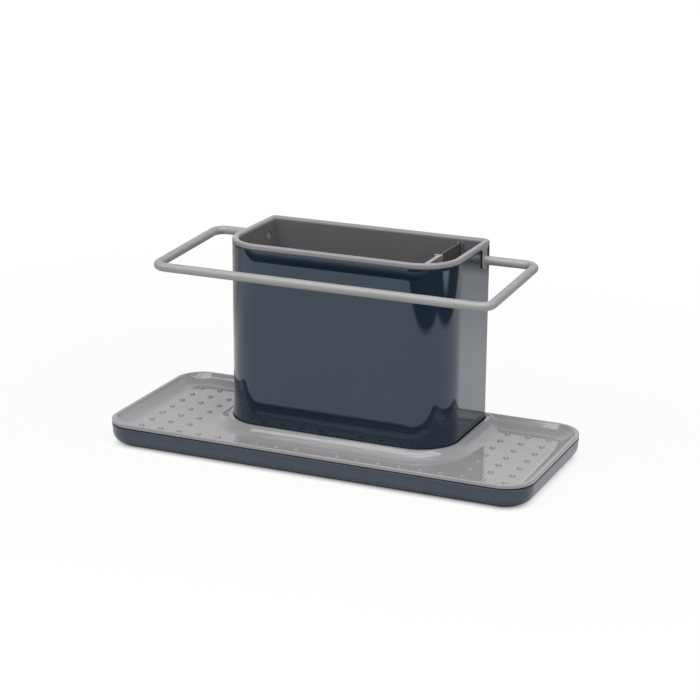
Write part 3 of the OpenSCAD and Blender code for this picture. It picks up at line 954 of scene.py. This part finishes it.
def build_tray(p):
    shape = TrayShape(p)
    c = bpy.context.scene.caddy_casing
    low = TRAY_LO.z
    inner = p.skirt + p.wall
    foot = p.crest + p.cove
    arch = p.rest - shape.floor
    turns = np.radians(np.linspace(0, 90, ARCH_CUTS))
    under = [
        (foot - (foot - inner) * math.sin(a), low + arch * (1 - math.cos(a))) for a in turns
    ]
    soft = 0.25 * MM
    outside = rounded([
        (*under[-1], 0),
        (inner, p.skirt_low, soft),
        (p.skirt, p.skirt_low, soft),
        (p.skirt, p.rest, 0),
        (p.shadow, p.rest, 0),
        (p.shadow, p.lip, 0),
        (0, p.lip, soft),
        (0, shape.crest, p.round),
        (p.round + 0.3 * MM, shape.crest, 0),
    ])
    shell = Shell()
    loops = shell.sweep(base_plan, under + outside[1:])

    edge = 0.3 * MM
    start = casing_plan(-p.gap - edge)
    z = shape.height(*start.T)
    pocket = [shell.ring(start, z)]
    for a in np.radians((30, 60, 90)):
        wall = casing_plan(-p.gap - edge * (1 - math.sin(a)))
        pocket.append(shell.ring(wall, z - edge * (1 - math.cos(a))))
    corner = [(p.gap, p.seat + 2 * edge, 0), (p.gap, p.seat, edge), (p.gap - 2 * edge, p.seat, 0)]
    pocket += [shell.ring(casing_plan(-d), h) for d, h in rounded(corner, 4)]
    shell.bands(pocket)

    r = p.seat_hole / 2
    ceiling = p.seat - p.wall
    hole = rounded([(0, ceiling, 0), (0, p.seat, edge), (edge * 2, p.seat, 0)], 3)
    spots = drain_spots(c.flange + r, p.seat_pitch)
    bottoms, tops = drain_holes(shell, spots, [(r + d, h) for d, h in hole])
    shell.plate(pocket[-1], tops)

    back = min(CASING_HI.y, BASE_HI.y - foot) - p.wall
    corners = c.front_corner - p.wall, c.back_corner - p.wall
    hollow = plan(CASING_HI.x - p.wall, CASING_LO.y + p.wall, back, *corners)
    recess = [shell.ring(hollow, h) for h in (low, ceiling)]
    shell.bands(recess[::-1])
    shell.plate(recess[1], bottoms, down=True)

    half = p.channel_w / 2
    r, end = 0.7 * half, shape.channel_y[1]
    slot = capsule(shape.channel_x, end - p.slot + 0.3 * half + r, end - 0.3 * half - r, r)
    slot_top = shell.ring(slot, shape.floor - p.channel_deep)
    slot_low = shell.ring(slot, low)
    shell.band(slot_top, slot_low)
    shell.plate(loops[0], [recess[0], slot_low], down=True)
    tray_top(shell, shape, loops[-1], pocket[0], slot_top)
    return shell.piece("drainer_tray_top")


def build_casing(p):
    low, top = CASING_LO.z, CASING_HI.z
    outline = rounded([
        (0, low, p.foot),
        (0, top, p.edge),
        (p.wall, top, p.edge),
        (p.wall, low + p.wall, p.edge * 2),
        (p.flange, low + p.wall, p.edge),
        (p.flange, low, p.edge),
    ], steps=5, closed=True)
    shell = Shell()
    loops = shell.sweep(casing_plan, outline)
    shell.band(loops[-1], loops[0])
    obj = shell.piece("glossy_casing")
    over = 2 * MM
    notch = arc(PIVOT.y, PIVOT.z, p.notch, 180, 360, 24)
    notch += [(PIVOT.y + p.notch, top + over), (PIVOT.y - p.notch, top + over)]
    carve(obj, at_ends(notch, CASING_HI.x - p.wall - over, CASING_HI.x + p.wall + over))
    smooth(obj)
    return obj


def lug_outline(p, top):
    """A lug seen from the end: round below, with a hollow fillet each side under the rim"""
    y, half = PIVOT.y, p.lug_w / 2
    rim = CASING_HI.z
    wide = half + p.lug_fillet
    points = arc(y, PIVOT.z - p.lug_tail, half, 180, 360, 20)
    points += arc(y + wide, rim - p.lug_fillet, p.lug_fillet, 180, 90, 8)
    points += [(y + wide, top), (y - wide, top)]
    points += arc(y - wide, rim - p.lug_fillet, p.lug_fillet, 90, 0, 8)
    return points


def build_liner(p):
    low, top = LINER_LO.z, LINER_HI.z
    seat = CASING_HI.z
    clear = bpy.context.scene.caddy_casing.wall + p.gap
    skin = clear + p.wall
    edge = 0.3 * MM
    profile = rounded([
        (clear + p.wall, low, 0),
        (clear, low, p.wall * 0.99),
        (clear, seat, 0),
        (0, seat, p.rim_under),
        (0, top, p.rim_round),
        (skin, top, p.rim_inner),
        (skin, low + p.wall, p.inner_round),
        (skin + p.inner_round * 1.05, low + p.wall, 0),
    ], steps=7)
    shell = Shell()
    loops = shell.sweep(casing_plan, profile)
    holes = [(p.hole / 2, low), (p.hole / 2, low + p.wall)]
    bottoms, tops = drain_holes(shell, drain_spots(p.margin, p.pitch), holes, 32)
    shell.plate(loops[0], bottoms, down=True)
    shell.plate(loops[-1], tops)
    obj = shell.piece("liner")

    lug_x, face = LINER_HI.x - p.lug_t, LINER_HI.x - p.lug_in
    head = top - p.rim_round
    wide = p.lug_w / 2 + p.lug_fillet - p.lug_edge
    root = oblong(PIVOT.y - wide, PIVOT.y + wide, seat + edge, head - edge)
    tabs = at_ends(lug_outline(p, head), lug_x, face, p.lug_edge)
    for tab in tabs:
        foot = min(v.co.z for v in tab.data.vertices)
        for v in tab.data.vertices:
            if abs(v.co.x) > (lug_x + face) / 2:
                lean = p.lug_lean * (v.co.z - foot) / (head - foot)
                v.co.x -= math.copysign(lean, v.co.x)
    roots = at_ends(root, CASING_HI.x - 2 * edge, lug_x + p.lug_edge / 2)
    adds = [solid for side in zip(tabs, roots) for solid in side]
    d = bpy.context.scene.caddy_divider
    x = (DIVIDER_LO.x + DIVIDER_HI.x) / 2
    corner = bpy.context.scene.caddy_casing.front_corner
    for half, back in ((d.stout / 2, False), (d.thin / 2, True)):
        for s in (-1, 1):
            gx = x + s * (half + p.guide_gap + p.guide_t / 2)
            inside = CASING_HI.y - skin
            if not back:
                across = max(gx + p.guide_t / 2 - (CASING_HI.x - corner), 0)
                inside = CASING_LO.y + corner - math.sqrt((corner - skin) ** 2 - across ** 2)
            way = 1 if back else -1
            ends = sorted((inside + way * p.wall / 2, inside - way * p.guide_h))
            rib = oblong(gx - p.guide_t / 2, gx + p.guide_t / 2, *ends)
            adds.append(prism(rib, low + p.wall / 2, DIVIDER_HI.z, edge))
    carve(obj, adds, "UNION")
    bore = arc(PIVOT.y, PIVOT.z, p.bore, 0, 351, 39)
    over = 2 * MM
    carve(obj, at_ends(bore, CASING_HI.x - skin - over, LINER_HI.x + over))
    smooth(obj)
    # Painted shade: the mark inner is 1 on the liner's inside faces below the rim and 0 outside, so
    # the inside is painted darker
    x, y, z = spots_of(obj).T
    painted_shade = np.clip((-casing_distance(x, y) - clear) / p.wall, 0, 1)
    mark(obj, "inner", painted_shade * np.clip((top - z) / p.rim_inner, 0, 1))
    return obj


def build_divider(p):
    x = (DIVIDER_LO.x + DIVIDER_HI.x) / 2
    wide = (DIVIDER_HI.x - DIVIDER_LO.x) / 2
    rib = CASING_LO.y + p.rib_back
    outline = [
        (x + p.stout / 2, DIVIDER_LO.y, p.edge * 2),
        (x + p.stout / 2, rib - p.rib_t, p.edge),
        (x + wide - p.rib_cut, rib - p.rib_t, p.edge * 2),
        (x + wide - p.rib_cut, rib, p.edge * 2),
        (x + p.thin / 2, rib, p.edge),
        (x + p.thin / 2, DIVIDER_HI.y, p.edge),
        (x - p.thin / 2, DIVIDER_HI.y, p.edge),
        (x - p.thin / 2, rib, p.edge),
        (x - wide, rib, p.edge * 2),
        (x - wide, rib - p.rib_t, p.edge * 2),
        (x - p.stout / 2, rib - p.rib_t, p.edge),
        (x - p.stout / 2, DIVIDER_LO.y, p.edge * 2),
    ]
    obj = prism(rounded(outline, 4, closed=True), DIVIDER_LO.z, DIVIDER_HI.z, p.edge * 0.7)
    obj.name = obj.data.name = "bay_divider"
    smooth(obj)
    # Painted shade: the mark inner darkens the whole back half and the stout half's sides, leaving
    # only the stout half's top light
    _, y, z = spots_of(obj).T
    mark(obj, "inner", np.where(y > rib, 1.0, p.stout_shade * (z < DIVIDER_HI.z - 0.1 * MM)))
    return obj


def build_rail(p):
    r = p.rod / 2
    half = (RAIL_HI.x - RAIL_LO.x) / 2 - r
    shift = (RAIL_HI.x + RAIL_LO.x) / 2
    front = Vector((0, RAIL_LO.y + r - PIVOT.y, RAIL_LO.z + r - PIVOT.z))
    reach = front.length
    ahead = front / reach
    spots = spots_of(frame["nodes"]["cloth_rail"])
    stub = spots[spots[:, 1] > PIVOT.y - r * 0.2]
    pin = np.abs(stub[:, 0] - shift).min() + p.sink
    across = Vector((1, 0, 0))
    up = across.cross(ahead) * -1
    path = []

    def straight(a, b, steps):
        for k in range(steps):
            path.append((a + (b - a) * (k / steps), (b - a).normalized()))

    def bend(centre, start, end):
        for k in range(BEND_STEPS):
            a = math.pi / 2 * k / BEND_STEPS
            spot = centre + (start * math.cos(a) + end * math.sin(a)) * p.bend
            path.append((spot, (end * math.cos(a) - start * math.sin(a)).normalized()))

    def at(x, y):
        return across * x + ahead * y

    b = p.bend
    straight(at(-pin, 0), at(-half + b, 0), 12)
    bend(at(-half + b, b), -ahead, -across)
    straight(at(-half, b), at(-half, reach - b), 20)
    bend(at(-half + b, reach - b), -across, ahead)
    straight(at(-half + b, reach), at(half - b, reach), 48)
    bend(at(half - b, reach - b), ahead, across)
    straight(at(half, reach - b), at(half, b), 20)
    bend(at(half - b, b), across, -ahead)
    straight(at(half - b, 0), at(pin, 0), 12)
    path.append((at(pin, 0), -across))
    middle = Vector((shift, PIVOT.y, PIVOT.z))
    shell, loops = Shell(), []
    first, last = path[0], path[-1]
    rings = [(first[0], first[1], r - p.end), (first[0] + first[1] * p.end, first[1], r)]
    rings += [(s, t, r) for s, t in path[1:-1]]
    rings += [(last[0] - last[1] * p.end, last[1], r), (last[0], last[1], r - p.end)]
    length, before = 0.0, rings[0][0]
    grain = []
    for spot, along, radius in rings:
        side = up.cross(along)
        length += (spot - before).length
        before = spot
        loop = []
        for k in range(ROD_STEPS):
            a = 2 * math.pi * k / ROD_STEPS
            out = side * math.cos(a) + up * math.sin(a)
            loop.append(middle + spot + out * radius)
            grain.append((length, out.dot(side) * r, out.dot(up) * r))
        loops.append(shell.add(loop))
    shell.bands(loops)
    shell.faces.append(tuple(loops[0][::-1]))
    shell.faces.append(tuple(loops[-1]))
    obj = shell.piece("cloth_rail_rod")
    mark(obj, "grain", grain, "FLOAT_VECTOR")
    return obj


# --- stage ------------------------------------------------------------------------------------


# The camera's right and up directions and its shift, from the perspective of the photograph
CAMERA_RIGHT = Vector((0.9145, 0.4044, 0.0060))
CAMERA_UP = Vector((-0.1263, 0.2716, 0.9541))
CAMERA_SHIFT = -0.00045
SENSOR = 36.0
# Overhead light: place, point it is aimed at, width and depth
KEY_PLACE = Vector((0.15, -0.50, 1.6))
KEY_AIM = Vector((0.0, 0.0, 0.05))
KEY_SIZE = (2.2, 1.2)
# Distances from the base's outline: start of the painted contact shadow as the camera sees it,
# the softer painted shadow that gloss shows, and the stretch over which the floor whitens
PAINTED_SHADOW_START = -0.009
PAINTED_SHADOW_SOFT = (-0.007, 0.005)
WHITENING = (0.10, 0.90)
WHITENED = 0.7
# Share of the floor's colour that takes shadows
SHADOWED = 0.80
# Painted highlight: a pale pane beside the sheet that glows in gloss only: middle, half widths and
# brightness
PANE = (0.60, -0.02)
PANE_HALF = (0.11, 0.12)
PAINTED_PANE_GLOW = 1.8
# Painted reflection: the room seen in gloss only, by the direction's height and its reach to the
# right: it dims overhead, and low on the right
OVERHEAD = (0.45, 0.86)
RIGHT_SIDE, LOW, LOW_DIM = (0.02, 0.20), (0.36, 0.46), 0.8


def build_camera(p):
    camera = place("camera", bpy.data.cameras.new("camera"))
    right, back = CAMERA_RIGHT.normalized(), CAMERA_RIGHT.cross(CAMERA_UP).normalized()
    turn = Matrix((right, back.cross(right), back)).transposed()
    camera.matrix_world = Matrix.Translation(p.eye) @ turn.to_4x4()
    camera.data.lens, camera.data.sensor_width = p.focal, SENSOR
    camera.data.shift_x = CAMERA_SHIFT
    return camera


def painted_base_shadow(p, g, x, y, camera):
    """How lit the floor is: a painted contact shadow at the foot of the base, softer in gloss, then
    whitening outwards
    """
    corner = bpy.context.scene.caddy_base.corner
    qx = (x.math("ABSOLUTE") - (BASE_HI.x - corner)).math("MAXIMUM", 0.0)
    qy = (y.math("ABSOLUTE") - (BASE_HI.y - corner)).math("MAXIMUM", 0.0)
    away = (qx * qx + qy * qy) ** 0.5 - corner
    # Painted shadow: the floor darkens at the base's foot, narrow for the camera, softer and wider
    # for gloss to darken the base's reflection
    crisp = 1 - (1 - g.spread(away, PAINTED_SHADOW_START, p.contact)) ** 2.0
    soft = g.spread(away, *PAINTED_SHADOW_SOFT)
    lit = soft + (crisp - soft) * camera
    return lit * p.glow + g.spread(away, *WHITENING, 0.0, WHITENED * (1 - p.glow))


def pale_floor(p):
    """A white floor with a painted contact shadow at the base, seen in gloss as a painted
    reflection of a sheet in a dark room
    """
    g = Graph(bpy.data.materials.new("pale_floor"))
    camera, gloss, clear = g.rays()
    x = g.make("ShaderNodeSeparateXYZ", None, {"Vector": g.place()})
    y = x.beside("Y")
    seen = (camera + gloss + clear).math("MINIMUM", 1.0)
    shadowed = g.diffuse(tone(p.floor_tint, SHADOWED * (1 - p.glow)))
    shown = {0: shadowed, 1: g.glow(painted_base_shadow(p, g, x, y, camera))}
    pale = g.make("ShaderNodeAddShader", None, shown)
    both = {0: seen, 1: g.diffuse((p.bounce,) * 3), 2: pale}
    sheet = g.make("ShaderNodeMixShader", None, both)
    # Painted reflection: the sheet in gloss, along what it fades, from where to where, down to what
    # share
    inside = 1.0
    right, ahead, far = p.front_edge
    for along, start, end, least in (
        (x * right - y * ahead, far - p.blur, far + p.blur, 0.0),
        (x, p.right_edge - p.blur, p.right_edge + p.blur, 0.0),
        (y, p.back_edge, p.back_edge + p.blur * 4, 0.0),
        (y, p.back_edge * 0.5, p.back_edge * 0.93, 0.65),
        (y * 0.6 - x * 0.8, 0.27, 0.36, 0.62),
    ):
        inside = g.spread(along, start, end, 1.0, least) * inside
    # Painted highlight and shade for gloss only: a glowing pane, and a dim room beyond the sheet
    rings = [((v - at) / half) ** 2.0 for v, at, half in zip((x, y), PANE, PANE_HALF)]
    room = g.glow(g.spread(rings[0] + rings[1], 0.0, 1.0, PAINTED_PANE_GLOW, 0.0) + p.gloom)
    look = {0: gloss * (1 - inside), 1: sheet, 2: room}
    return g.end(g.make("ShaderNodeMixShader", None, look))


def studio(p):
    """Light from all sides, stronger from the right and the front, and in gloss a painted
    reflection that dims overhead
    """
    g = Graph(bpy.data.worlds.new("studio"))
    camera, gloss, clear = g.rays()
    x = g.make("ShaderNodeSeparateXYZ", None, {"Vector": g.place("Generated")})
    y, z = x.beside("Y"), x.beside("Z")
    # Painted reflection: gloss alone sees a world that dims overhead and low on the right
    room = g.spread(z, *OVERHEAD, 1.0, p.high)
    room = room * (1 - g.spread(x, *RIGHT_SIDE) * g.spread(z, *LOW, LOW_DIM, 0.0))
    plain = x * (p.sky * p.side) - y * (p.sky * p.front) + p.sky
    lit = plain + (room - plain) * gloss
    seen = (camera + clear).math("MINIMUM", 1.0)
    sky = {"Color": WHITE, "Strength": lit + (1 - lit) * seen}
    return g.end(g.make("ShaderNodeBackground", None, sky), "ShaderNodeOutputWorld")


def build_stage(p):
    scene = bpy.context.scene
    scene.camera = build_camera(p)
    half, sheet = p.floor / 2, Shell()
    sheet.faces.append(tuple(sheet.ring(oblong(-half, half, -half, half), 0.0)))
    floor = sheet.piece("floor")
    floor.data.materials.append(pale_floor(p))
    scene.world = studio(p)
    light = bpy.data.lights.new("overhead", "AREA")
    light.shape, light.energy = "RECTANGLE", p.key
    light.size, light.size_y = KEY_SIZE
    lamp = place("overhead", light)
    lamp.location = KEY_PLACE
    lamp.rotation_euler = (KEY_AIM - KEY_PLACE).to_track_quat("-Z", "Y").to_euler()
    scene.view_settings.view_transform = "Standard"


# --- operators and panel ----------------------------------------------------------------------


class CADDY_OT_stage(bpy.types.Operator):
    """Sets up the floor, the light and the camera"""

    bl_idname = "caddy.stage"
    bl_label = "Stage"

    def execute(self, context):
        build_stage(context.scene.caddy_stage)
        return {"FINISHED"}


class CADDY_OT_base(bpy.types.Operator):
    """Makes the drip base"""

    bl_idname = "caddy.base"
    bl_label = "Drip Base"

    def execute(self, context):
        p = context.scene.caddy_base
        material = gloss_plastic("slate_base_plastic", p.tint, 0.16, 1.2e-6, coat=0.15)
        return finish(build_base(p), "base", "base_reservoir", material)


class CADDY_OT_feet(bpy.types.Operator):
    """Makes the four soft feet"""

    bl_idname = "caddy.feet"
    bl_label = "Feet"

    def execute(self, context):
        p = context.scene.caddy_feet
        material = soft_rubber("foot_rubber", p.tint)
        return finish(build_feet(p), "base", "base_feet", material)


class CADDY_OT_tray(bpy.types.Operator):
    """Makes the drainer tray"""

    bl_idname = "caddy.tray"
    bl_label = "Drainer Tray"

    def execute(self, context):
        p = context.scene.caddy_tray
        material = gloss_plastic(
            "light_grey_plastic", p.tint, 0.085, 1.0e-6, cloud=0.02, smudge=0.03, ior=1.56
        )
        return finish(build_tray(p), "tray", "drainer_tray", material)


class CADDY_OT_casing(bpy.types.Operator):
    """Makes the glossy outer casing"""

    bl_idname = "caddy.casing"
    bl_label = "Casing"

    def execute(self, context):
        p = context.scene.caddy_casing
        material = gloss_plastic(
            "glossy_slate_plastic", p.tint, 0.035, 3e-7, coat=0.35, smudge=0.02, ior=1.60,
            gleam=(0.680, 0.810, 0.984),
        )
        return finish(build_casing(p), "casing", "outer_casing", material)


class CADDY_OT_liner(bpy.types.Operator):
    """Makes the liner with its rim and lugs"""

    bl_idname = "caddy.liner"
    bl_label = "Liner"

    def execute(self, context):
        p = context.scene.caddy_liner
        # Painted shade: the liner's marked inside is drawn at 0.56 of its colour
        material = gloss_plastic(
            "satin_liner_plastic", p.tint, 0.26, 2.0e-6, cloud=0.03, inner=0.56
        )
        return finish(build_liner(p), "liner", "inner_liner", material)


class CADDY_OT_divider(bpy.types.Operator):
    """Makes the divider"""

    bl_idname = "caddy.divider"
    bl_label = "Divider"

    def execute(self, context):
        p = context.scene.caddy_divider
        # Painted shade: the divider's marked faces are drawn at 0.32 of its colour
        material = gloss_plastic(
            "satin_divider_plastic", p.tint, 0.32, 2.0e-6, cloud=0.03, inner=0.32
        )
        return finish(build_divider(p), "divider", "divider", material)


class CADDY_OT_rail(bpy.types.Operator):
    """Makes the bent cloth rail"""

    bl_idname = "caddy.rail"
    bl_label = "Cloth Rail"

    def execute(self, context):
        p = context.scene.caddy_rail
        material = satin_metal("satin_rail_metal", p.tint)
        return finish(build_rail(p), "rail", "cloth_rail", material)


class CADDY_PT_panel(bpy.types.Panel):
    """Lists the caddy's pieces"""

    bl_label = "Sink Caddy"
    bl_idname = "CADDY_PT_panel"
    bl_space_type = "VIEW_3D"
    bl_region_type = "UI"
    bl_category = "Caddy"

    def draw(self, context):
        for operator in OPERATORS:
            self.layout.operator(operator.bl_idname)
            group = getattr(context.scene, "caddy_" + operator.bl_idname.split(".")[1])
            for name in group.bl_rna.properties.keys():
                if name not in ("rna_type", "name"):
                    self.layout.prop(group, name)


GROUPS = {
    "caddy_stage": CaddyStage,
    "caddy_base": CaddyBase,
    "caddy_feet": CaddyFeet,
    "caddy_tray": CaddyTray,
    "caddy_casing": CaddyCasing,
    "caddy_liner": CaddyLiner,
    "caddy_divider": CaddyDivider,
    "caddy_rail": CaddyRail,
}
OPERATORS = (
    CADDY_OT_stage,
    CADDY_OT_base,
    CADDY_OT_feet,
    CADDY_OT_tray,
    CADDY_OT_casing,
    CADDY_OT_liner,
    CADDY_OT_divider,
    CADDY_OT_rail,
)


def register():
    for cls in (*GROUPS.values(), *OPERATORS, CADDY_PT_panel):
        bpy.utils.register_class(cls)
    for name, cls in GROUPS.items():
        setattr(bpy.types.Scene, name, bpy.props.PointerProperty(type=cls))


def unregister():
    for name in GROUPS:
        delattr(bpy.types.Scene, name)
    for cls in (CADDY_PT_panel, *OPERATORS[::-1], *list(GROUPS.values())[::-1]):
        bpy.utils.unregister_class(cls)


def main():
    register()
    for operator in OPERATORS:
        getattr(bpy.ops.caddy, operator.bl_idname.split(".")[1])()


if __name__ == "__main__":
    main()
